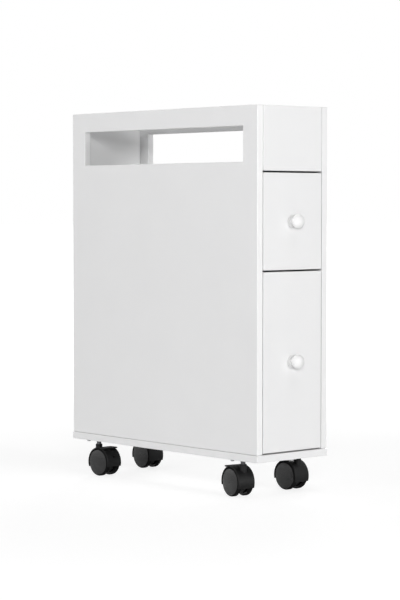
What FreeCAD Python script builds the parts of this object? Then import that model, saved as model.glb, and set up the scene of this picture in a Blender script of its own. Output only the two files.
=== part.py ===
import FreeCAD, Part
import math
import os

Vector = FreeCAD.Vector

# Cabinet boards, in millimetres
board = 12.0                  # thickness of every cabinet board
body_width = 160.0
body_depth = 484.0
panel_height = 571.0          # side panels, from the base plate to the top
plate_overhang = 1.0          # base plate proud of the panels, all round
arris = 0.6                   # bevel along the board edges
foot_seam_height = 0.65       # shadow line round the foot of a side panel
foot_seam_depth = 3.0

# Side windows and front fascia
window_height = 59.0
window_top_rail = 33.0
window_end_stile = 35.0
fascia_height = 106.5
fascia_groove_depth = 2.0     # shadow line at each end of the fascia

# Drawers
upper_front_height = 159.5
front_gap = 3.0               # above the upper drawer front and between the two
front_foot_gap = 2.5          # below the lower drawer front
front_side_gap = 1.6          # beside the drawer fronts, and the fascia's shadow lines
drawer_board = 12.0
drawer_side_clearance = 1.6   # drawer side to cabinet panel
drawer_top_drop = 22.0        # drawer sides stop this far below the top of their front
drawer_foot_rise = 8.0        # and start this far above its foot
drawer_rear_room = 14.0       # behind a closed drawer
bottom_thickness = 3.0
bottom_rise = 8.0             # drawer bottom above the lower edge of the sides
bottom_groove_depth = 5.0
bottom_fit = 0.15             # round the bottom in its grooves

# Drawer runners
runner_height = 14.0
runner_thickness = 7.0
runner_rise = 50.0            # centre line above the lower edge of the drawer side
runner_front_setback = 6.0    # behind the drawer front
runner_rear_gap = 4.0         # to the back panel
runner_round = 1.5            # long edges that meet the groove
runner_fit = 0.3              # above and below the runner in its groove
runner_tip_fit = 0.8          # between the runner's face and the groove's floor

# Knobs
knob_radius = 11.8
knob_projection = 23.0
knob_widest = 12.6            # height of the widest section above the drawer front
knob_head_round = 5.5         # edge of the head, either side of its widest section
knob_neck_radius = 6.5
knob_base_radius = 10.5
knob_base_thickness = 2.2
knob_base_round = 0.8
knob_screw_radius = 2.0
knob_screw_grip = 11.0        # length inside the knob
knob_screw_head_radius = 4.0
knob_screw_head_height = 2.4

# Hidden joinery
hole_fit = 0.1                # round a fastener in its hole
cam_radius = 6.0
cam_depth = 9.0
cam_setback = 24.0            # cam centre from the joint
cam_slot_width = 1.2
cam_slot_depth = 0.8
cam_end_margin = 60.0         # from the ends of a cabinet board
cam_edge_margin = 80.0        # from the ends of the back panel's bay
bolt_thread_radius = 2.5
bolt_thread_length = 8.0
bolt_shank_radius = 2.0
bolt_head_radius = 2.8
bolt_head_length = 2.5
dowel_radius = 3.0
dowel_short_end = 8.0         # in the face of the mating board
dowel_long_end = 16.0         # in the edge of the board it locates
fascia_dowel_spread = 56.0
back_dowel_drop = 20.0        # upper dowel below the top of the back panel
drawer_cam_low = 27.0         # above the lower edge of the drawer side
drawer_cam_drop = 20.0        # below its upper edge

# Screws
wood_screw_radius = 1.75
wood_screw_head_radius = 3.5
wood_screw_head_height = 2.0
back_screw_length = 35.0
back_screw_low = 30.0         # above the lower edge of the drawer side
back_screw_drop = 25.0        # below its upper edge
runner_screw_length = 14.0
runner_screw_margin = 45.0    # from the runner's ends
pan_crown_share = 0.65        # flat crown of a pan head, of its radius
pan_rim_share = 0.45          # upright rim of a pan head, of its height
base_screw_radius = 2.25
base_screw_length = 45.0
base_screw_head_radius = 3.5
base_screw_head_height = 2.8
base_screw_front_setback = 66.0
base_screw_rear_setback = 37.0

# Casters
caster_height = 62.0          # floor to the base plate
caster_inset_x = 17.0         # stem axis from the side of the body
caster_inset_y = 52.0         # stem axis from its front or rear
caster_trail = 15.0           # axle behind the stem
wheel_radius = 24.0
wheel_gap = 16.0              # between the inner faces of the two wheels
wheel_tread_width = 5.5
wheel_edge = 0.8              # bevel on the inner edge of the tread
wheel_face_radius = 21.4      # where the rounded shoulder meets the face
wheel_shoulder = 3.0          # height of the shoulder beyond the tread
wheel_shoulder_bulge = 0.7
wheel_crown = 1.9             # rise of the domed face
wheel_wall = 2.6
wheel_hub_radius = 6.5
wheel_bore_depth = 9.5        # axle's depth in the wheel
wheel_ribs = 6
wheel_rib_thickness = 1.6
wheel_rib_setback = 1.5       # ribs below the inner face
axle_radius = 3.0
axle_fit = 0.02               # pressed into the hood
running_fit = 0.06            # turning on the axle or on the stem
hood_width = 32.0
hood_wall = 1.6
hood_clearance = 1.1          # between wheel and hood
hood_edge_bevel = 0.7
hood_front_drop = 20.0        # degrees below the axle where the front skirt ends
hood_rear_drop = 14.0         # the same at the rear
hood_web_width = 10.0
hood_web_radius = 19.0
hood_web_clearance = 0.4      # from the web to the wheel's hub
deck_reach = 16.0             # flat top, behind the axle
deck_thickness = 2.2
boss_radius = 6.0
collar_rise = 4.0             # boss above the deck
lock_hole_radius = 1.75
lock_hole_depth = 5.0
lock_hole_angle = 23.0        # degrees above the axle, on the rear of the hood
slot_width = 6.0
slot_height = 2.0
slot_depth = 1.0
slot_angle = 52.0
stem_radius = 4.0
stem_engagement = 24.0        # length inside the hood
stem_end_gap = 0.5
stem_flange_flats = 11.0
stem_flange_height = 2.5
stem_groove_depth = 0.7
stem_groove_width = 1.4
stem_groove_rise = 3.0
socket_radius = 5.5
socket_length = 11.0
thread_fit = 0.05

# Where each caster stands and how far it is turned at rest: side, end, degrees
casters = {
    "front_left": (-1, -1, -9.0),
    "front_right": (1, -1, 0.0),
    "rear_left": (-1, 1, 183.0),
    "rear_right": (1, 1, -2.0),
}

# Planes that follow from the sizes above; the knobs and the rear edge balance about y = 0
centre_y = (knob_projection - plate_overhang) / 2
half_width = body_width / 2
inner_x = half_width - board
front_y = centre_y - body_depth / 2
rear_y = centre_y + body_depth / 2
bay_front = front_y + board
bay_rear = rear_y - board
plate_z = caster_height
panel_z = plate_z + board
top_z = panel_z + panel_height
window_top = top_z - window_top_rail
window_foot = window_top - window_height
fascia_z = top_z - fascia_height
upper_front_top = fascia_z - front_gap
upper_front_foot = upper_front_top - upper_front_height
lower_front_top = upper_front_foot - front_gap
lower_front_foot = panel_z + front_foot_gap
front_half = inner_x - front_side_gap
drawer_outer_x = inner_x - drawer_side_clearance
drawer_inner_x = drawer_outer_x - drawer_board
drawer_end = bay_rear - drawer_rear_room
sides = {"left": -1, "right": 1}

nodes = {}
holes = {}
hardware = {}


def add(table, name, *shapes):
    table.setdefault(name, []).extend(shapes)


def box(x, y, z):
    """A box between the low and high values given for each axis."""
    size = [max(pair) - min(pair) for pair in (x, y, z)]
    return Part.makeBox(*size, Vector(min(x), min(y), min(z)))


def eased_board(x, y, z):
    solid = box(x, y, z)
    return solid.makeChamfer(arris, solid.Edges)


def rod(radius, start, direction, length):
    return Part.makeCylinder(radius, length, start, direction)


def turned(outline, start, direction):
    """Turns a closed outline of (radius, height) edges about an axis through start."""
    face = Part.Face(Part.Wire(outline))
    solid = face.revolve(Vector(0, 0, 0), Vector(0, 0, 1), 360)
    solid.Placement = FreeCAD.Placement(start, FreeCAD.Rotation(Vector(0, 0, 1), direction))
    return solid


def profile(points):
    """Straight edges from point to point, in the plane of radius and height."""
    corners = [Vector(radius, 0, height) for radius, height in points]
    return [Part.makeLine(a, b) for a, b in zip(corners, corners[1:])]


# Hidden joinery

def cam_joint(owner, panel, mate, seat, inward, face):
    """Draws a panel's edge against its mate; the cam shows on the panel's given face."""
    centre = seat + inward * cam_setback
    cam = rod(cam_radius, centre + face * board / 2, -face, cam_depth)
    pocket = rod(cam_radius + hole_fit, centre + face * board / 2, -face, cam_depth + hole_fit)
    bore_radius = bolt_head_radius + hole_fit
    bore = rod(bore_radius, seat, inward, cam_setback)
    notch = rod(bore_radius, seat, inward, cam_setback + hole_fit)
    across = inward.cross(face)
    slot_start = centre + face * (board / 2 - cam_slot_depth) - across * cam_radius
    slot = Part.makePolygon([
        slot_start - inward * cam_slot_width / 2,
        slot_start + inward * cam_slot_width / 2,
        slot_start + inward * cam_slot_width / 2 + face * board,
        slot_start - inward * cam_slot_width / 2 + face * board,
        slot_start - inward * cam_slot_width / 2,
    ])
    slot = Part.Face(slot).extrude(across * cam_radius * 2)
    head = bolt_head_radius
    bolt = turned(
        profile([
            (0, -bolt_thread_length),
            (bolt_thread_radius, -bolt_thread_length),
            (bolt_thread_radius, 0),
            (bolt_shank_radius, 0),
            (bolt_shank_radius, cam_setback - bolt_head_length),
            (head, cam_setback - bolt_head_length),
            (head, cam_setback),
            (0, cam_setback),
            (0, -bolt_thread_length),
        ]),
        seat,
        inward,
    )
    socket_depth = bolt_thread_length + hole_fit
    socket = rod(bolt_thread_radius + hole_fit, seat - inward * socket_depth, inward, socket_depth)
    add(hardware, owner + "_cam_locks", cam.cut([notch, slot]))
    add(hardware, owner + "_cam_bolts", bolt)
    add(holes, panel, pocket, bore)
    add(holes, mate, socket)


def dowel_joint(panel, mate, seat, inward):
    start = seat - inward * dowel_short_end
    length = dowel_short_end + dowel_long_end
    dowel = rod(dowel_radius, start, inward, length)
    hole = rod(dowel_radius + hole_fit, start - inward * hole_fit, inward, length + 2 * hole_fit)
    add(hardware, "carcass_dowels", dowel)
    add(holes, panel, hole)
    add(holes, mate, hole)


def pan_head_outline(radius, head_radius, head_height, length):
    return profile([
        (0, -head_height),
        (head_radius * pan_crown_share, -head_height),
        (head_radius, -head_height * pan_rim_share),
        (head_radius, 0),
        (radius, 0),
        (radius, length),
        (0, length),
        (0, -head_height),
    ])


def countersunk_outline(radius, head_radius, head_height, length):
    return profile([
        (0, 0),
        (head_radius, 0),
        (radius, head_height),
        (radius, length),
        (0, length),
        (0, 0),
    ])


def countersunk_screw(group, through, into, start, direction, length):
    """A flush wood screw whose head lies in the face at start."""
    screw = turned(
        countersunk_outline(wood_screw_radius, wood_screw_head_radius, wood_screw_head_height, length),
        start,
        direction,
    )
    hole = turned(
        countersunk_outline(
            wood_screw_radius + hole_fit,
            wood_screw_head_radius + hole_fit,
            wood_screw_head_height + hole_fit,
            length + hole_fit,
        ),
        start,
        direction,
    )
    add(hardware, group, screw)
    add(holes, through, hole)
    add(holes, into, hole)


# Cabinet boards

def side_panel(side):
    panel = eased_board(
        (side * inner_x, side * half_width), (front_y, rear_y), (panel_z, top_z)
    )
    window = box(
        (side * (inner_x - board), side * (half_width + board)),
        (front_y + window_end_stile, rear_y - window_end_stile),
        (window_foot, window_top),
    )
    panel = panel.cut([window, foot_seam(side)])
    rims = [
        edge for edge in panel.Edges
        if window_on_face(edge.BoundBox)
    ]
    return panel.makeChamfer(arris, rims)


def foot_seam(side):
    """The shadow line round the outer edges of a panel's foot, which leaves the middle to stand on."""
    height = (panel_z - arris, panel_z + foot_seam_height)
    around = box(
        (side * (inner_x - arris), side * (half_width + arris)), (front_y - arris, rear_y + arris), height
    )
    standing = box(
        (side * (inner_x - board), side * (half_width - foot_seam_depth)),
        (front_y + foot_seam_depth, rear_y - foot_seam_depth),
        height,
    )
    return around.cut(standing)


def window_on_face(bounds):
    """True for an edge of the window's rim, on either face of a side panel."""
    from_middle_y = abs((bounds.YMin + bounds.YMax) / 2 - centre_y)
    from_middle_z = abs((bounds.ZMin + bounds.ZMax) / 2 - (window_foot + window_top) / 2)
    inside_y = from_middle_y < body_depth / 2 - window_end_stile + arris
    inside_z = from_middle_z < window_height / 2 + arris
    return inside_y and inside_z and bounds.XLength < arris


def base_plate():
    return eased_board(
        (-half_width - plate_overhang, half_width + plate_overhang),
        (front_y - plate_overhang, rear_y + plate_overhang),
        (plate_z, panel_z),
    )


def fascia():
    """The front of the tray: its ends seat on the side panels, behind the shadow lines."""
    face = eased_board((-front_half, front_half), (front_y, bay_front), (fascia_z, top_z))
    seat = eased_board((-inner_x, inner_x), (front_y + fascia_groove_depth, bay_front), (fascia_z, top_z))
    return face.fuse(seat).removeSplitter()


def cabinet():
    for name, side in sides.items():
        nodes[name + "_side_panel"] = side_panel(side)
    nodes["back_panel"] = eased_board((-inner_x, inner_x), (bay_rear, rear_y), (panel_z, top_z))
    nodes["front_fascia"] = fascia()
    nodes["cubby_floor"] = eased_board(
        (-inner_x, inner_x), (bay_front, bay_rear), (fascia_z, fascia_z + board)
    )
    nodes["base_plate"] = base_plate()


def cabinet_joinery():
    rearward = Vector(0, 1, 0)
    floor_middle = fascia_z + board / 2
    fascia_middle = (fascia_z + top_z) / 2
    for name, side in sides.items():
        mate = name + "_side_panel"
        inward = Vector(-side, 0, 0)
        for y in (bay_front + cam_end_margin, bay_rear - cam_end_margin):
            seat = Vector(side * inner_x, y, floor_middle)
            cam_joint("carcass", "cubby_floor", mate, seat, inward, Vector(0, 0, -1))
        dowel_joint("cubby_floor", mate, Vector(side * inner_x, centre_y, floor_middle), inward)
        seat = Vector(side * inner_x, front_y + board / 2, fascia_middle)
        cam_joint("carcass", "front_fascia", mate, seat, inward, rearward)
        for sign in (-1, 1):
            dowel_joint("front_fascia", mate, seat + Vector(0, 0, sign * fascia_dowel_spread / 2), inward)
        for height in (panel_z + cam_edge_margin, fascia_z - cam_edge_margin):
            seat = Vector(side * inner_x, rear_y - board / 2, height)
            cam_joint("carcass", "back_panel", mate, seat, inward, -rearward)
        for height in ((panel_z + fascia_z) / 2, top_z - back_dowel_drop):
            dowel_joint("back_panel", mate, Vector(side * inner_x, rear_y - board / 2, height), inward)


def base_screws():
    """Pan-head screws driven up through the plate into the side panels."""
    for name, side in sides.items():
        for y in (front_y + base_screw_front_setback, rear_y - base_screw_rear_setback):
            start = Vector(side * (half_width - board / 2), y, plate_z)
            outline = pan_head_outline(
                base_screw_radius, base_screw_head_radius, base_screw_head_height, base_screw_length
            )
            hole = rod(base_screw_radius + hole_fit, start, Vector(0, 0, 1), base_screw_length + hole_fit)
            add(hardware, "base_screws", turned(outline, start, Vector(0, 0, 1)))
            add(holes, "base_plate", hole)
            add(holes, name + "_side_panel", hole)


# Drawers

def runner(side, centre_z):
    """A plastic strip whose rounded edges run in the groove of the drawer side."""
    tip = inner_x - runner_thickness
    strip = box(
        (side * tip, side * inner_x),
        (bay_front + runner_front_setback, bay_rear - runner_rear_gap),
        (centre_z - runner_height / 2, centre_z + runner_height / 2),
    )
    rounded = [
        edge for edge in strip.Edges
        if abs(edge.BoundBox.XMin - side * tip) < arris and edge.BoundBox.XLength < arris
    ]
    return strip.makeFillet(runner_round, rounded)


def runner_screws(name, side, centre_z):
    start_x = side * (inner_x - runner_thickness)
    first = bay_front + runner_front_setback + runner_screw_margin
    last = bay_rear - runner_rear_gap - runner_screw_margin
    for y in (first, (first + last) / 2, last):
        start = Vector(start_x, y, centre_z)
        countersunk_screw(
            "runner_screws", name, ("left" if side < 0 else "right") + "_side_panel",
            start, Vector(side, 0, 0), runner_screw_length,
        )


def drawer_side(side, foot, top, runner_z):
    solid = box((side * drawer_inner_x, side * drawer_outer_x), (bay_front, drawer_end), (foot, top))
    groove_half = runner_height / 2 + runner_fit
    groove_floor = inner_x - runner_thickness - runner_tip_fit
    runner_groove = box(
        (side * groove_floor, side * inner_x),
        (bay_front, drawer_end),
        (runner_z - groove_half, runner_z + groove_half),
    )
    return solid.cut([runner_groove, bottom_groove(foot)])


def bottom_groove(foot):
    reach = drawer_inner_x + bottom_groove_depth
    return box(
        (-reach, reach),
        (bay_front - bottom_groove_depth, drawer_end),
        (foot + bottom_rise - bottom_fit, foot + bottom_rise + bottom_thickness + bottom_fit),
    )


def arc(*points):
    """An arc through three points of (radius, height)."""
    return Part.Arc(*[Vector(radius, 0, height) for radius, height in points]).toShape()


def knob(centre):
    """A round knob turned about its screw: base, neck, and a head with a domed face."""
    hole_end = knob_screw_grip + hole_fit
    hole_radius = knob_screw_radius + hole_fit
    edge_centre = knob_radius - knob_head_round
    rise = knob_projection - knob_widest
    dome_radius = (edge_centre ** 2 + rise ** 2 - knob_head_round ** 2) / (2 * (rise - knob_head_round))
    dome_centre = knob_projection - dome_radius
    tangent = math.atan2(edge_centre, knob_widest - dome_centre)
    meeting = (dome_radius * math.sin(tangent), dome_centre + dome_radius * math.cos(tangent))
    dome_middle = (dome_radius * math.sin(tangent / 2), dome_centre + dome_radius * math.cos(tangent / 2))
    edge_middle = (tangent + math.pi / 2) / 2
    underside = knob_widest - math.sqrt(knob_head_round ** 2 - (knob_neck_radius - edge_centre) ** 2)
    slant = knob_head_round / math.sqrt(2)
    edges = profile([
        (0, knob_projection),
        (0, hole_end),
        (hole_radius, hole_end),
        (hole_radius, 0),
        (knob_base_radius, 0),
        (knob_base_radius, knob_base_thickness - knob_base_round),
        (knob_base_radius - knob_base_round, knob_base_thickness),
        (knob_neck_radius, knob_base_thickness),
        (knob_neck_radius, underside),
    ])
    edges.append(arc(
        (knob_neck_radius, underside), (edge_centre + slant, knob_widest - slant), (knob_radius, knob_widest)
    ))
    edges.append(arc(
        (knob_radius, knob_widest),
        (
            edge_centre + knob_head_round * math.sin(edge_middle),
            knob_widest + knob_head_round * math.cos(edge_middle),
        ),
        meeting,
    ))
    edges.append(arc(meeting, dome_middle, (0, knob_projection)))
    return turned(edges, centre, Vector(0, -1, 0))


def knob_screw(centre):
    outline = pan_head_outline(
        knob_screw_radius, knob_screw_head_radius, knob_screw_head_height, board + knob_screw_grip
    )
    return turned(outline, centre + Vector(0, board, 0), Vector(0, -1, 0))


def drawer(name, front_foot, front_top):
    foot = front_foot + drawer_foot_rise
    top = front_top - drawer_top_drop
    runner_z = foot + runner_rise
    front = eased_board((-front_half, front_half), (front_y, bay_front), (front_foot, front_top))
    nodes[name + "_drawer_front"] = front.cut(bottom_groove(foot))
    bottom_half = drawer_inner_x + bottom_groove_depth - bottom_fit
    floor = foot + bottom_rise + bottom_thickness
    nodes[name + "_drawer_bottom"] = box(
        (-bottom_half, bottom_half),
        (bay_front - bottom_groove_depth + bottom_fit, drawer_end),
        (foot + bottom_rise, floor),
    )
    nodes[name + "_drawer_back"] = box(
        (-drawer_inner_x, drawer_inner_x), (drawer_end - drawer_board, drawer_end), (floor, top)
    )
    for label, side in sides.items():
        side_node = name + "_drawer_" + label + "_side"
        nodes[side_node] = drawer_side(side, foot, top, runner_z)
        middle = side * (drawer_inner_x + drawer_outer_x) / 2
        for height in (foot + drawer_cam_low, top - drawer_cam_drop):
            cam_joint(
                name + "_drawer", side_node, name + "_drawer_front",
                Vector(middle, bay_front, height), Vector(0, 1, 0), Vector(-side, 0, 0),
            )
        for height in (foot + back_screw_low, top - back_screw_drop):
            countersunk_screw(
                name + "_drawer_back_screws", side_node, name + "_drawer_back",
                Vector(side * drawer_outer_x, drawer_end - drawer_board / 2, height),
                Vector(-side, 0, 0), back_screw_length,
            )
        runner_node = name + "_" + label + "_runner"
        nodes[runner_node] = runner(side, runner_z)
        runner_screws(runner_node, side, runner_z)
    centre = Vector(0, front_y, (front_foot + front_top) / 2)
    nodes[name + "_drawer_knob"] = knob(centre)
    nodes[name + "_drawer_knob_screw"] = knob_screw(centre)
    through = rod(knob_screw_radius + hole_fit, centre, Vector(0, 1, 0), board)
    add(holes, name + "_drawer_front", through)


# Casters, each drawn with its stem on the Z axis, trailing towards +Y

def axle_rod(radius, width):
    """A rod on the axle's line, centred between the wheels."""
    return rod(radius, Vector(-width / 2, caster_trail, wheel_radius), Vector(1, 0, 0), width)


def stem_foot():
    return wheel_radius + hood_outer() + collar_rise - stem_engagement


def hood_inner():
    return wheel_radius + hood_clearance


def hood_outer():
    return hood_inner() + hood_wall


def below_skirts():
    """The wedge under the axle that the hood leaves open."""
    reach = 4 * wheel_radius
    front = math.radians(hood_front_drop)
    rear = math.radians(hood_rear_drop)
    axle = Vector(-hood_width, caster_trail, wheel_radius)
    corners = [
        axle,
        axle + Vector(0, -reach * math.cos(front), -reach * math.sin(front)),
        axle + Vector(0, 0, -reach),
        axle + Vector(0, reach * math.cos(rear), -reach * math.sin(rear)),
        axle,
    ]
    return Part.Face(Part.makePolygon(corners)).extrude(Vector(2 * hood_width, 0, 0))


def rear_cutter(solid, angle, depth):
    """Turns a cutter drawn along +Y to an angle on the rear of the hood, sunk by depth."""
    solid.translate(Vector(0, caster_trail + hood_outer() - depth, wheel_radius))
    solid.rotate(Vector(0, caster_trail, wheel_radius), Vector(1, 0, 0), angle)
    return solid


def hood():
    shell = axle_rod(hood_outer(), hood_width)
    rims = [edge for edge in shell.Edges if edge.BoundBox.XLength < arris]
    shell = shell.makeChamfer(hood_edge_bevel, rims)
    deck_top = wheel_radius + hood_outer()
    deck = box(
        (-hood_width / 2, hood_width / 2),
        (caster_trail, caster_trail + deck_reach),
        (deck_top - deck_thickness, deck_top),
    )
    shell = shell.fuse(deck).cut([axle_rod(hood_inner(), 2 * hood_width), below_skirts()])
    web = axle_rod(hood_inner() + hood_wall / 2, hood_web_width).cut(below_skirts())
    web = web.fuse(axle_rod(hood_web_radius, hood_web_width))
    boss_foot = stem_foot() - stem_end_gap - hood_wall
    boss_top = deck_top + collar_rise
    boss = rod(boss_radius, Vector(0, 0, boss_foot), Vector(0, 0, 1), boss_top - boss_foot)
    bore_foot = stem_foot() - stem_end_gap
    bore = rod(stem_radius + running_fit, Vector(0, 0, bore_foot), Vector(0, 0, 1), caster_height)
    lock_hole = rear_cutter(
        rod(lock_hole_radius, Vector(0, 0, 0), Vector(0, 1, 0), lock_hole_depth * 2),
        lock_hole_angle,
        lock_hole_depth,
    )
    slot = rear_cutter(
        box((-slot_width / 2, slot_width / 2), (0, slot_depth * 4), (-slot_height / 2, slot_height / 2)),
        slot_angle,
        slot_depth,
    )
    whole = shell.fuse([web, boss])
    return whole.cut([bore, axle_rod(axle_radius + axle_fit, hood_width), lock_hole, slot]).removeSplitter()


def wheel(side):
    """One wheel: hollow and ribbed inside, with a rounded shoulder and a domed face."""
    hub_x = hood_web_width / 2 + hood_web_clearance
    inner_face = wheel_gap / 2
    tread_end = inner_face + wheel_tread_width
    face_x = tread_end + wheel_shoulder
    crown_x = face_x + wheel_crown
    pocket_x = face_x - wheel_wall
    pocket_radius = wheel_face_radius - wheel_wall / 2
    bore_radius = axle_radius + running_fit
    bore_end = hub_x + wheel_bore_depth
    edges = profile([
        (0, crown_x),
        (0, bore_end),
        (bore_radius, bore_end),
        (bore_radius, hub_x),
        (wheel_hub_radius, hub_x),
        (wheel_hub_radius, pocket_x),
        (pocket_radius, pocket_x),
        (pocket_radius, inner_face),
        (wheel_radius - wheel_edge, inner_face),
        (wheel_radius, inner_face + wheel_edge),
        (wheel_radius, tread_end),
    ])
    shoulder_run = wheel_radius - wheel_face_radius
    slant = math.hypot(shoulder_run, wheel_shoulder)
    shoulder_middle = (
        (wheel_radius + wheel_face_radius) / 2 + wheel_shoulder_bulge * wheel_shoulder / slant,
        (tread_end + face_x) / 2 + wheel_shoulder_bulge * shoulder_run / slant,
    )
    dome_radius = (wheel_face_radius ** 2 + wheel_crown ** 2) / (2 * wheel_crown)
    half_angle = math.asin(wheel_face_radius / dome_radius) / 2
    dome_middle = (
        dome_radius * math.sin(half_angle), crown_x - dome_radius * (1 - math.cos(half_angle))
    )
    edges.append(arc((wheel_radius, tread_end), shoulder_middle, (wheel_face_radius, face_x)))
    edges.append(arc((wheel_face_radius, face_x), dome_middle, (0, crown_x)))
    solid = turned(edges, Vector(0, caster_trail, wheel_radius), Vector(side, 0, 0))
    for index in range(wheel_ribs):
        rib = box(
            (side * (inner_face + wheel_rib_setback), side * (pocket_x + wheel_wall / 2)),
            (caster_trail - wheel_rib_thickness / 2, caster_trail + wheel_rib_thickness / 2),
            (wheel_radius + wheel_hub_radius - wheel_wall / 2, wheel_radius + pocket_radius + wheel_wall / 2),
        )
        axle = Vector(0, caster_trail, wheel_radius)
        rib.rotate(axle, Vector(1, 0, 0), index * 360 / wheel_ribs)
        solid = solid.fuse(rib)
    return solid.removeSplitter()


def axle():
    reach = hood_web_width / 2 + hood_web_clearance + wheel_bore_depth - stem_end_gap
    return axle_rod(axle_radius, 2 * reach)


def stem():
    """A steel stem with a spanner flange, threaded above it and grooved near its foot."""
    foot = stem_foot()
    shank = rod(stem_radius, Vector(0, 0, foot), Vector(0, 0, 1), plate_z - foot)
    thread = rod(stem_radius - thread_fit, Vector(0, 0, plate_z), Vector(0, 0, 1), socket_length)
    corner_radius = stem_flange_flats / math.sqrt(3)
    corners = [
        Vector(
            corner_radius * math.cos(index * math.pi / 3),
            corner_radius * math.sin(index * math.pi / 3),
            plate_z - stem_flange_height,
        )
        for index in range(7)
    ]
    flange = Part.Face(Part.makePolygon(corners)).extrude(Vector(0, 0, stem_flange_height))
    groove_z = foot + stem_groove_rise
    ring = rod(stem_radius + hole_fit, Vector(0, 0, groove_z), Vector(0, 0, 1), stem_groove_width)
    core = rod(stem_radius - stem_groove_depth, Vector(0, 0, groove_z), Vector(0, 0, 1), stem_groove_width)
    return shank.fuse([thread, flange]).cut(ring.cut(core))


def caster(name, side, end, turn):
    place = Vector(
        side * (half_width - caster_inset_x), centre_y + end * (body_depth / 2 - caster_inset_y), 0
    )
    pieces = {
        "stem": stem(),
        "hood": hood(),
        "axle": axle(),
        "left_wheel": wheel(-1),
        "right_wheel": wheel(1),
    }
    for label, solid in pieces.items():
        solid.rotate(Vector(0, 0, 0), Vector(0, 0, 1), turn)
        solid.translate(place)
        nodes[name + "_caster_" + label] = solid
    foot = place + Vector(0, 0, plate_z)
    up = Vector(0, 0, 1)
    socket = rod(socket_radius, foot, up, socket_length).cut(rod(stem_radius, foot, up, socket_length))
    add(hardware, "caster_sockets", socket)
    add(holes, "base_plate", rod(socket_radius + thread_fit, foot, up, socket_length + hole_fit))


cabinet()
cabinet_joinery()
base_screws()
drawer("upper", upper_front_foot, upper_front_top)
drawer("lower", lower_front_foot, lower_front_top)
for caster_name, (caster_side, caster_end, caster_turn) in casters.items():
    caster(caster_name, caster_side, caster_end, caster_turn)

for name, cutters in holes.items():
    nodes[name] = nodes[name].cut(cutters)
for name, solids in hardware.items():
    nodes[name] = Part.makeCompound(solids)

os.makedirs("parts", exist_ok=True)
for name, shape in nodes.items():
    shape.exportStep("parts/" + name + ".step")
    print(name, len(shape.Solids), "solids", "valid" if shape.isValid() else "NOT VALID")
print(len(nodes), "nodes")
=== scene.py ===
"""Looks of a slim rolling storage cart, built round its fixed frame, in metres."""
import math
from typing import NamedTuple

import bmesh
import bpy
from mathutils import Matrix, Vector


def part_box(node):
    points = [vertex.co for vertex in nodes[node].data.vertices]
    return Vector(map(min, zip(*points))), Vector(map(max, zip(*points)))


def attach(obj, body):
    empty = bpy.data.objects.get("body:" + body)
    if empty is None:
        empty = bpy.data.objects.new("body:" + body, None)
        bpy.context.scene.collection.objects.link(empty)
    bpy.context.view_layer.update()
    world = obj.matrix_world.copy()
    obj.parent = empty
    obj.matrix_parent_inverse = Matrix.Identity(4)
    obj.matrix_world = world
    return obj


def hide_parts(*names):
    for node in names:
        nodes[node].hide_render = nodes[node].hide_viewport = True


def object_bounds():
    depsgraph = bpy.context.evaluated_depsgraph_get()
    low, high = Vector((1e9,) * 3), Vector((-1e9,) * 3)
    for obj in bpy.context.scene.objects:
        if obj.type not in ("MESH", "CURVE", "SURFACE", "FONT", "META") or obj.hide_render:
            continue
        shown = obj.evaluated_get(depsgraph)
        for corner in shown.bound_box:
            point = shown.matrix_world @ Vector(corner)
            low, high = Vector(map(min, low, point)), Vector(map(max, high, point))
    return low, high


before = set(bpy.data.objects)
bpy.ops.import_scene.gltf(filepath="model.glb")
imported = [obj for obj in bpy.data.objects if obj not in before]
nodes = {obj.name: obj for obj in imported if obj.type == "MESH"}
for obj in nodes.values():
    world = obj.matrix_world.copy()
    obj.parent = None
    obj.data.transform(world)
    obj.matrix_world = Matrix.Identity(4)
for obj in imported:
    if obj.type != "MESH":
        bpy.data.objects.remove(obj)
cad_low, cad_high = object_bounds()

MM = 0.001
X, Y, Z = range(3)

# Camera: a long lens, a little above the cart and left of its front
image_long_side = 600
focal_pixels = 2009.7
sensor_long_side = 36.0
camera_azimuth = math.radians(-41.60)
camera_elevation = math.radians(2.65)
camera_distance = 3.4866
camera_target = Vector((0.0004, -0.0004, 0.3181))
near_clip = 0.1
far_clip = 200

# Light: a dim white surround, and soft lamps by azimuth and elevation in degrees, distance, size and watts
surround_level = 0.03
soft_lamps = {
    "key_lamp": (-40, 13, 5.0, 0.9, 94.0),
    "left_lamp": (-90, 9, 5.0, 0.9, 68.0),
    "rim_lamp": (-140, 26, 5.0, 1.2, 22.0),
    "front_lamp": (5, 6, 5.0, 0.9, 86.0),
    "top_lamp": (-10, 70, 5.0, 2.0, 46.0),
    "back_lamp": (130, 12, 5.0, 1.4, 115.0),
}

# Floor
floor_reach = 40.0
floor_tone = 0.86
floor_roughness = 0.9
floor_glow = 0.08
floor_white = 1.20            # the floor as the camera sees it far from the cart
floor_shadow_share = 0.36     # how much of the floor's own shade shows round the cart
floor_shadow_inner = 0.35     # distance from the cart at which that shade starts to fade
floor_shadow_outer = 2.6

# Screws
weld = 1e-6
screw_sides = 24
cross_reach_share = 0.62      # reach of the cross, of the head's radius
cross_width_share = 0.24      # half width of its arms, of its reach
cross_depth_share = 0.55
cross_taper = 0.45
pan_head_height = 2.6 * MM
pan_rim = ((0.72, 0.06), (0.92, 0.26), (1.0, 0.52))     # radius and height, of the head's radius
pan_shank_share = 0.62
flat_head_height = 2.0 * MM
flat_rim_share = 0.1
flat_shank_share = 0.5
tip_share = 1.5               # length of the tip, of the shank's radius
smooth_angle = math.radians(35)


class Skin(NamedTuple):
    """A finish seen from close by: its two tones, the size of their patches, its grain and its roughness."""
    low: tuple
    high: tuple
    patch_size: float
    grain_size: float
    grain_height: float
    roughness: tuple


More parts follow.
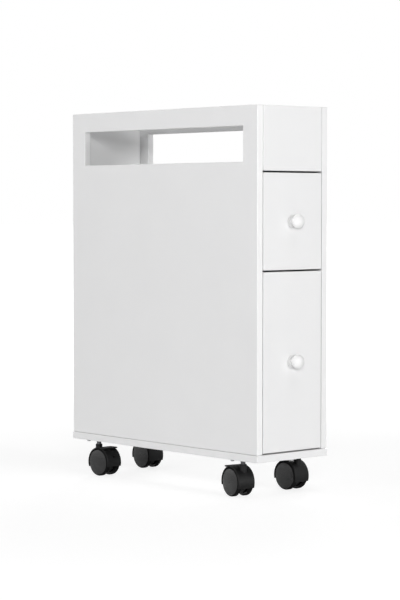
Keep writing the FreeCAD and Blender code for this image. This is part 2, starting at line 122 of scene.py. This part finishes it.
# Finishes, with linear colours
black = ((0.0028, 0.0028, 0.0030), (0.0050, 0.0050, 0.0052))
lacquer = Skin((0.807, 0.807, 0.810), (0.819, 0.819, 0.821), 90 * MM, 1.1 * MM, 0.012 * MM, (0.34, 0.44))
foil = Skin((0.72, 0.715, 0.70), (0.78, 0.775, 0.76), 25 * MM, 0.6 * MM, 0.02 * MM, (0.48, 0.62))
runner_strip = Skin((0.66, 0.66, 0.645), (0.74, 0.74, 0.725), 60 * MM, 0.5 * MM, 0.01 * MM, (0.36, 0.5))
enamel = Skin((0.80, 0.80, 0.80), (0.82, 0.82, 0.815), 18 * MM, 0.8 * MM, 0.004 * MM, (0.7, 0.8))
hood_black = Skin(*black, 14 * MM, 0.5 * MM, 0.02 * MM, (0.44, 0.6))
wheel_black = Skin(*black, 14 * MM, 0.8 * MM, 0.008 * MM, (0.8, 0.9))
stem_metal = Skin((0.09, 0.09, 0.095), (0.15, 0.15, 0.155), 7 * MM, 0.35 * MM, 0.006 * MM, (0.3, 0.46))
plated_metal = Skin((0.50, 0.51, 0.53), (0.68, 0.69, 0.70), 7 * MM, 0.35 * MM, 0.004 * MM, (0.2, 0.36))
cast_metal = Skin((0.38, 0.38, 0.40), (0.52, 0.52, 0.53), 4 * MM, 0.5 * MM, 0.015 * MM, (0.42, 0.6))
beech = Skin((0.40, 0.245, 0.125), (0.58, 0.40, 0.235), 2.5 * MM, 0.5 * MM, 0.03 * MM, (0.55, 0.7))

# Painted shade: the inner faces are a darker white than the lacquer outside
shaded_inside_low = (0.717, 0.719, 0.721)
shaded_inside_high = (0.728, 0.730, 0.731)
# Painted highlight: the side panels' front edges are brighter, the left one most
front_highlight_left = (0.880, 0.880, 0.880)
front_highlight_right = (0.826, 0.826, 0.828)
# Painted highlight: board edges are brighter within this width of each edge
edge_highlight = (0.84, 0.84, 0.84)
edge_highlight_width = 1.2 * MM
fibre_low = (0.20, 0.12, 0.065)
fibre_high = (0.32, 0.205, 0.12)
dome_low = (0.007, 0.007, 0.0072)
dome_high = (0.010, 0.010, 0.0102)
dome_coat_roughness = 0.22
enamel_gloss = 0.04
hood_gloss = 0.22
wheel_gloss = 0.12
strip_stretch = (1.0, 0.03, 1.0)
beech_stretch = (0.08, 1.0, 1.0)
facing_least = 0.8            # least part of a face's normal along an axis that it looks along
dome_least = 0.93

# Noise under every finish
tone_detail = 2.0
grain_detail = 3.0
noise_roughness = 0.55
noise_low = 0.3
noise_high = 0.7


# Shader building blocks

def add_node(tree, kind, **values):
    """A node with its named inputs set."""
    node = tree.nodes.new(kind)
    for label, value in values.items():
        node.inputs[label.replace("_", " ")].default_value = value
    return node


def arithmetic(tree, operation, first, second):
    """A maths node between two sockets or numbers."""
    node = tree.nodes.new("ShaderNodeMath")
    node.operation = operation
    for socket, value in zip(node.inputs, (first, second)):
        if isinstance(value, (int, float)):
            socket.default_value = value
        else:
            tree.links.new(value, socket)
    return node.outputs[0]


def vector_arithmetic(tree, operation, first, second):
    """A maths node between two vector sockets."""
    node = tree.nodes.new("ShaderNodeVectorMath")
    node.operation = operation
    tree.links.new(first, node.inputs[0])
    tree.links.new(second, node.inputs[1])
    return node.outputs["Vector"]


def shade_between(tree, mask, low, high):
    """A colour that goes from low to high with the mask; either may be a socket."""
    node = tree.nodes.new("ShaderNodeMix")
    node.data_type = "RGBA"
    tree.links.new(mask, node.inputs[0])
    for socket, colour in ((node.inputs[6], low), (node.inputs[7], high)):
        if isinstance(colour, tuple):
            socket.default_value = (*colour, 1)
        else:
            tree.links.new(colour, socket)
    return node.outputs[2]


def spread(tree, mask, low, high):
    """A value that goes from low to high as the mask goes from 0 to 1."""
    node = add_node(tree, "ShaderNodeMapRange", To_Min=low, To_Max=high)
    tree.links.new(mask, node.inputs["Value"])
    return node.outputs["Result"]


def new_group(name, inputs, outputs):
    """An empty shader group with its sockets, and its two end nodes."""
    group = bpy.data.node_groups.new(name, "ShaderNodeTree")
    for label, kind in inputs.items():
        group.interface.new_socket(label, in_out="INPUT", socket_type="NodeSocket" + kind)
    for label in outputs:
        group.interface.new_socket(label, in_out="OUTPUT", socket_type="NodeSocketFloat")
    return group, group.nodes.new("NodeGroupInput"), group.nodes.new("NodeGroupOutput")


def make_skin_group():
    """Slow changes of tone, and the fine grain of a painted or moulded skin."""
    group, start, end = new_group(
        "fine_skin", {"Vector": "Vector", "Tone Scale": "Float", "Grain Scale": "Float"}, ("Tone", "Grain")
    )
    for label, detail in (("Tone", tone_detail), ("Grain", grain_detail)):
        noise = add_node(group, "ShaderNodeTexNoise", Detail=detail, Roughness=noise_roughness)
        group.links.new(start.outputs["Vector"], noise.inputs["Vector"])
        group.links.new(start.outputs[label + " Scale"], noise.inputs["Scale"])
        stretch = add_node(group, "ShaderNodeMapRange", From_Min=noise_low, From_Max=noise_high)
        group.links.new(noise.outputs["Fac"], stretch.inputs["Value"])
        group.links.new(stretch.outputs["Result"], end.inputs[label])
    return group


def make_edge_group():
    """1 along the edges of a box-shaped board between Low and High, 0 further in than Width."""
    group, start, end = new_group(
        "board_edges", {"Vector": "Vector", "Low": "Vector", "High": "Vector", "Width": "Float"}, ("Edge",)
    )
    place, low, high, width = (start.outputs[label] for label in ("Vector", "Low", "High", "Width"))
    from_low = vector_arithmetic(group, "SUBTRACT", place, low)
    from_high = vector_arithmetic(group, "SUBTRACT", high, place)
    split = group.nodes.new("ShaderNodeSeparateXYZ")
    group.links.new(vector_arithmetic(group, "MINIMUM", from_low, from_high), split.inputs[0])
    x, y, z = split.outputs
    lower = arithmetic(group, "MINIMUM", x, y)
    upper = arithmetic(group, "MAXIMUM", x, y)
    second = arithmetic(group, "MAXIMUM", lower, arithmetic(group, "MINIMUM", upper, z))
    fade = add_node(group, "ShaderNodeMapRange", To_Min=1.0, To_Max=0.0)
    fade.interpolation_type = "SMOOTHSTEP"
    group.links.new(arithmetic(group, "DIVIDE", second, width), fade.inputs["Value"])
    group.links.new(fade.outputs["Result"], end.inputs["Edge"])
    return group


skin_group = make_skin_group()
edge_group = make_edge_group()


class Finish:
    """A material under way: its shader, its coordinates, and the noise of its skin."""

    def __init__(self, name, skin):
        self.material = bpy.data.materials.new(name)
        self.material.use_nodes = True
        self.tree = self.material.node_tree
        self.shader = self.tree.nodes["Principled BSDF"]
        self.place = self.tree.nodes.new("ShaderNodeTexCoord")
        self.skin = skin
        self.noise = self.group(skin_group)
        self.noise.inputs["Tone Scale"].default_value = 1 / skin.patch_size
        self.noise.inputs["Grain Scale"].default_value = 1 / skin.grain_size

    def link(self, start, end):
        self.tree.links.new(start, end)

    def group(self, tree):
        node = self.tree.nodes.new("ShaderNodeGroup")
        node.node_tree = tree
        self.link(self.place.outputs["Object"], node.inputs["Vector"])
        return node

    def own_colour(self):
        return self.colour(self.skin.low, self.skin.high)

    def colour(self, low, high):
        """A colour that changes with the patches of tone."""
        return shade_between(self.tree, self.noise.outputs["Tone"], low, high)

    def stretch(self, scale):
        """Draws the skin out along the axes with a small scale, as grain or extrusion lines are."""
        mapping = add_node(self.tree, "ShaderNodeMapping", Scale=scale)
        self.link(self.place.outputs["Object"], mapping.inputs["Vector"])
        self.link(mapping.outputs["Vector"], self.noise.inputs["Vector"])

    def facing(self, axis, sign, least=facing_least):
        """1 on faces that look along an axis, 0 elsewhere; a sign of 0 takes both ways along it."""
        split = self.tree.nodes.new("ShaderNodeSeparateXYZ")
        self.link(self.place.outputs["Normal"], split.inputs[0])
        if sign:
            along = arithmetic(self.tree, "MULTIPLY", split.outputs[axis], float(sign))
        else:
            along = arithmetic(self.tree, "ABSOLUTE", split.outputs[axis], 0.0)
        return arithmetic(self.tree, "GREATER_THAN", along, least)

    def complete(self, colour, **plain):
        """Joins colour, roughness and grain to the shader, whose plain values are set on its sockets."""
        grain = self.noise.outputs["Grain"]
        self.link(colour, self.shader.inputs["Base Color"])
        self.link(spread(self.tree, grain, *self.skin.roughness), self.shader.inputs["Roughness"])
        bump = add_node(self.tree, "ShaderNodeBump", Strength=1.0, Distance=self.skin.grain_height)
        self.link(grain, bump.inputs["Height"])
        self.link(bump.outputs["Normal"], self.shader.inputs["Normal"])
        for label, value in plain.items():
            self.shader.inputs[label.replace("_", " ")].default_value = value
        return self.material


# Finishes of the pieces

def lacquered_board(name, shaded_face=None, front_highlight=None):
    """Satin white lacquer on one board, with a painted highlight along its edges, painted shade on its inner
    face, and a brighter painted highlight on a side panel's front edge.
    """
    low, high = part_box(name)
    finish = Finish(name + "_lacquer", lacquer)
    edges = finish.group(edge_group)
    edges.inputs["Low"].default_value = low
    edges.inputs["High"].default_value = high
    edges.inputs["Width"].default_value = edge_highlight_width
    colour = finish.own_colour()
    # The inner face, an axis and a sign, looks into the cabinet and is painted a darker white: painted shade
    # inside the cabinet
    if shaded_face:
        inside_shade = finish.colour(shaded_inside_low, shaded_inside_high)
        colour = shade_between(finish.tree, finish.facing(*shaded_face), colour, inside_shade)
    # The side panels' front edges are painted brighter: a painted highlight, stronger on the left panel than
    # on the right
    if front_highlight:
        colour = shade_between(finish.tree, finish.facing(Y, -1), colour, front_highlight)
    # Painted highlight: the board's edges are painted brighter than its face
    colour = shade_between(finish.tree, edges.outputs["Edge"], colour, edge_highlight)
    return finish.complete(colour)


def foil_hardboard():
    """White foil on top, brown pressed fibre underneath."""
    finish = Finish("foil_hardboard", foil)
    fibre = shade_between(finish.tree, finish.noise.outputs["Grain"], fibre_low, fibre_high)
    colour = shade_between(finish.tree, finish.facing(Z, -1), finish.own_colour(), fibre)
    return finish.complete(colour)


def drawn_finish(name, skin, scale):
    """A skin with lines along one axis, as extruded plastic and wood have."""
    finish = Finish(name, skin)
    finish.stretch(scale)
    return finish.complete(finish.own_colour())


def plain_finish(name, skin, **plain):
    finish = Finish(name, skin)
    return finish.complete(finish.own_colour(), **plain)


def wheel_moulding():
    """Black plastic, with domed faces, which look along the axle, that are glossier than the treads."""
    finish = Finish("wheel_plastic", wheel_black)
    dome = finish.facing(X, 0, dome_least)
    colour = shade_between(finish.tree, dome, finish.own_colour(), finish.colour(dome_low, dome_high))
    finish.link(dome, finish.shader.inputs["Coat Weight"])
    return finish.complete(colour, Specular_IOR_Level=wheel_gloss, Coat_Roughness=dome_coat_roughness)


steel = plain_finish("plated_steel", plated_metal, Metallic=1.0)


def dress(name, material):
    mesh = nodes[name].data
    mesh.materials.clear()
    mesh.materials.append(material)


def dress_boards():
    # Painted highlights on the side panels' front edges
    front_highlights = {"left_side_panel": front_highlight_left, "right_side_panel": front_highlight_right}
    # Painted shade on the faces that look into the cabinet
    shaded_faces = {
        "left_side_panel": (X, 1),
        "right_side_panel": (X, -1),
        "back_panel": (Y, -1),
        "front_fascia": (Y, 1),
        "cubby_floor": (Z, 1),
    }
    cabinet_boards = ("_panel", "_fascia", "_floor", "_plate")
    drawer_boards = ("drawer_front", "_side", "drawer_back")
    for name in nodes:
        if name.endswith(cabinet_boards + drawer_boards):
            dress(name, lacquered_board(name, shaded_faces.get(name), front_highlights.get(name)))


def dress_others():
    """One finish for all the nodes with the same ending."""
    steel_endings = ("_axle", "_cam_bolts", "_sockets", "_screws", "_screw")
    shared = {
        "drawer_bottom": foil_hardboard(),
        "_runner": drawn_finish("runner_plastic", runner_strip, strip_stretch),
        "_knob": plain_finish("knob_enamel", enamel, Specular_IOR_Level=enamel_gloss),
        "_cam_locks": plain_finish("cast_zinc", cast_metal, Metallic=1.0),
        "_dowels": drawn_finish("raw_beech", beech, beech_stretch),
        "_hood": plain_finish("hood_plastic", hood_black, Specular_IOR_Level=hood_gloss),
        "_wheel": wheel_moulding(),
        "_stem": plain_finish("dark_steel", stem_metal, Metallic=1.0),
        **dict.fromkeys(steel_endings, steel),
    }
    for ending, material in shared.items():
        for name in nodes:
            if name.endswith(ending):
                dress(name, material)


# Cross-head screws, which stand for the plain ones of the frame

def solids_of(name):
    """The box of each separate solid in a node, as (low, high)."""
    shape = bmesh.new()
    shape.from_mesh(nodes[name].data)
    bmesh.ops.remove_doubles(shape, verts=shape.verts, dist=weld)
    boxes = []
    left = set(shape.verts)
    while left:
        island = set()
        front = [left.pop()]
        while front:
            vert = front.pop()
            island.add(vert)
            for edge in vert.link_edges:
                other = edge.other_vert(vert)
                if other in left:
                    left.discard(other)
                    front.append(other)
        places = [v.co for v in island]
        boxes.append((
            Vector([min(p[i] for p in places) for i in range(3)]),
            Vector([max(p[i] for p in places) for i in range(3)]),
        ))
    shape.free()
    return boxes


def in_flat_middle(face, reach):
    """Whether a face lies in the flat middle of a screw's head."""
    return all(v.co.z < weld and v.co.xy.length < reach + weld for v in face.verts)


def turned_screw(outline, reach):
    """Spins an outline of (radius, height) about Z and sinks a cross in its head, which looks along -Z."""
    shape = bmesh.new()
    verts = [shape.verts.new((radius, 0, height)) for radius, height in outline]
    edges = [shape.edges.new(pair) for pair in zip(verts, verts[1:])]
    bmesh.ops.spin(
        shape, geom=verts + edges, cent=(0, 0, 0), axis=(0, 0, 1),
        angle=math.tau, steps=screw_sides, use_merge=True, use_duplicate=False,
    )
    bmesh.ops.remove_doubles(shape, verts=shape.verts, dist=weld)
    half = reach * cross_width_share
    for normal in (Vector((1, 0, 0)), Vector((0, 1, 0))):
        for sign in (-1, 1):
            cap = [face for face in shape.faces if in_flat_middle(face, reach)]
            parts = {part for face in cap for part in (face, *face.edges, *face.verts)}
            bmesh.ops.bisect_plane(
                shape, geom=list(parts), dist=weld, plane_co=normal * sign * half, plane_no=normal
            )
    cross = []
    for face in shape.faces:
        centre = face.calc_center_median()
        if in_flat_middle(face, reach) and min(abs(centre.x), abs(centre.y)) < half:
            cross.append(face)
    bmesh.ops.recalc_face_normals(shape, faces=shape.faces)
    bmesh.ops.inset_region(
        shape, faces=cross, thickness=half * cross_taper, depth=-reach * cross_depth_share,
        use_boundary=True, use_even_offset=True,
    )
    return shape


def screw_outline(kind, head_radius, length):
    """From the middle of the head to the tip, as (radius, height), and the reach of its cross."""
    reach = head_radius * cross_reach_share
    head = [(0, 0), (reach, 0)]
    if kind == "pan":
        head += [(head_radius * radius, head_radius * height) for radius, height in pan_rim]
        head.append((head_radius, pan_head_height))
        shank = head_radius * pan_shank_share
        neck = pan_head_height
    else:
        head += [(head_radius, 0), (head_radius, head_radius * flat_rim_share)]
        shank = head_radius * flat_shank_share
        neck = flat_head_height
    return head + [(shank, neck), (shank, length - tip_share * shank), (0, length)], reach


def add_screws(name, body, kind, heading):
    """Cross-head screws in place of a node's plain ones; heading gives each one's way in."""
    whole = bmesh.new()
    for low, high in solids_of(name):
        centre = (low + high) / 2
        inward = heading(centre)
        size = high - low
        length = abs(size.dot(inward))
        start = centre - inward * length / 2
        across = [side for side, along in zip(size, inward) if not along]
        outline, reach = screw_outline(kind, max(across) / 2, length)
        screw = turned_screw(outline, reach)
        turn = Vector((0, 0, 1)).rotation_difference(inward).to_matrix().to_4x4()
        screw.transform(Matrix.Translation(start) @ turn)
        part = bpy.data.meshes.new("screw")
        screw.to_mesh(part)
        screw.free()
        whole.from_mesh(part)
        bpy.data.meshes.remove(part)
    mesh = bpy.data.meshes.new(name + "_cross_head")
    whole.to_mesh(mesh)
    whole.free()
    mesh.materials.append(steel)
    for polygon in mesh.polygons:
        polygon.use_smooth = True
    mesh.set_sharp_from_angle(angle=smooth_angle)
    piece = bpy.data.objects.new(name + "_cross_head", mesh)
    bpy.context.scene.collection.objects.link(piece)
    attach(piece, body)
    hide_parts(name)


def upward(centre):
    return Vector((0, 0, 1))


def frontward(centre):
    return Vector((0, -1, 0))


def to_the_side(centre):
    return Vector((math.copysign(1, centre.x), 0, 0))


def to_the_middle(centre):
    return Vector((-math.copysign(1, centre.x), 0, 0))


# Floor, light and camera

def camera_share(tree, in_mirrors):
    """1 for rays from the camera, and from glossy finishes if wanted, 0 for those that light the cart."""
    path = tree.nodes.new("ShaderNodeLightPath")
    if in_mirrors:
        return arithmetic(tree, "MAXIMUM", path.outputs["Is Camera Ray"], path.outputs["Is Glossy Ray"])
    return path.outputs["Is Camera Ray"]


def floor_finish():
    """A pale floor whose own shade the camera sees near the cart, and which turns white further away."""
    material = bpy.data.materials.new("pale_floor")
    material.use_nodes = True
    tree = material.node_tree
    shader = tree.nodes["Principled BSDF"]
    shader.inputs["Base Color"].default_value = (floor_tone, floor_tone, floor_tone, 1)
    shader.inputs["Roughness"].default_value = floor_roughness
    shader.inputs["Emission Color"].default_value = (1, 1, 1, 1)
    shader.inputs["Emission Strength"].default_value = floor_glow
    shader.inputs["Specular IOR Level"].default_value = 0.0
    white = add_node(tree, "ShaderNodeEmission", Color=(1, 1, 1, 1), Strength=floor_white)
    place = tree.nodes.new("ShaderNodeTexCoord")
    away = tree.nodes.new("ShaderNodeVectorMath")
    away.operation = "LENGTH"
    tree.links.new(place.outputs["Object"], away.inputs[0])
    fade = add_node(
        tree, "ShaderNodeMapRange", From_Min=floor_shadow_inner, From_Max=floor_shadow_outer,
        To_Min=1 - floor_shadow_share, To_Max=1.0,
    )
    fade.interpolation_type = "SMOOTHSTEP"
    tree.links.new(away.outputs["Value"], fade.inputs["Value"])
    share = arithmetic(tree, "MULTIPLY", camera_share(tree, False), fade.outputs["Result"])
    mix = tree.nodes.new("ShaderNodeMixShader")
    tree.links.new(share, mix.inputs[0])
    tree.links.new(shader.outputs[0], mix.inputs[1])
    tree.links.new(white.outputs[0], mix.inputs[2])
    tree.links.new(mix.outputs[0], tree.nodes["Material Output"].inputs["Surface"])
    return material


def pale_floor():
    shape = bmesh.new()
    bmesh.ops.create_grid(shape, x_segments=1, y_segments=1, size=floor_reach)
    mesh = bpy.data.meshes.new("floor")
    shape.to_mesh(mesh)
    shape.free()
    mesh.materials.append(floor_finish())
    floor = bpy.data.objects.new("floor", mesh)
    bpy.context.scene.collection.objects.link(floor)


def white_surround():
    world = bpy.data.worlds.new("white_surround")
    world.use_nodes = True
    tree = world.node_tree
    background = tree.nodes["Background"]
    background.inputs["Color"].default_value = (1, 1, 1, 1)
    strength = spread(tree, camera_share(tree, True), surround_level, 1.0)
    tree.links.new(strength, background.inputs["Strength"])
    bpy.context.scene.world = world


def outward(azimuth, elevation):
    """The direction from the cart to a lamp or to the camera; azimuth 0 is in front of the drawers."""
    level = math.cos(elevation)
    return Vector((math.sin(azimuth) * level, -math.cos(azimuth) * level, math.sin(elevation)))


def soft_lamp(name, azimuth, elevation, distance, size, watts):
    light = bpy.data.lights.new(name, "AREA")
    light.shape = "SQUARE"
    light.size = size
    light.energy = watts
    lamp = bpy.data.objects.new(name, light)
    away = outward(math.radians(azimuth), math.radians(elevation))
    lamp.location = (cad_low + cad_high) / 2 + away * distance
    lamp.rotation_euler = (-away).to_track_quat("-Z", "Y").to_euler()
    bpy.context.scene.collection.objects.link(lamp)


def photo_camera():
    camera = bpy.data.cameras.new("camera")
    camera.sensor_width = sensor_long_side
    camera.lens = focal_pixels / image_long_side * sensor_long_side
    camera.clip_start = near_clip
    camera.clip_end = far_clip
    back = outward(camera_azimuth, camera_elevation)
    eye = bpy.data.objects.new("camera", camera)
    eye.location = camera_target + back * camera_distance
    eye.rotation_euler = (-back).to_track_quat("-Z", "Y").to_euler()
    bpy.context.scene.collection.objects.link(eye)
    bpy.context.scene.camera = eye


dress_boards()
dress_others()
add_screws("base_screws", "cabinet", "pan", upward)
add_screws("runner_screws", "cabinet", "flat", to_the_side)
for drawer in ("upper_drawer", "lower_drawer"):
    add_screws(drawer + "_back_screws", drawer, "flat", to_the_middle)
    add_screws(drawer + "_knob_screw", drawer, "pan", frontward)

pale_floor()
white_surround()
for name, lamp in soft_lamps.items():
    soft_lamp(name, *lamp)
photo_camera()
bpy.context.scene.view_settings.view_transform = "Standard"
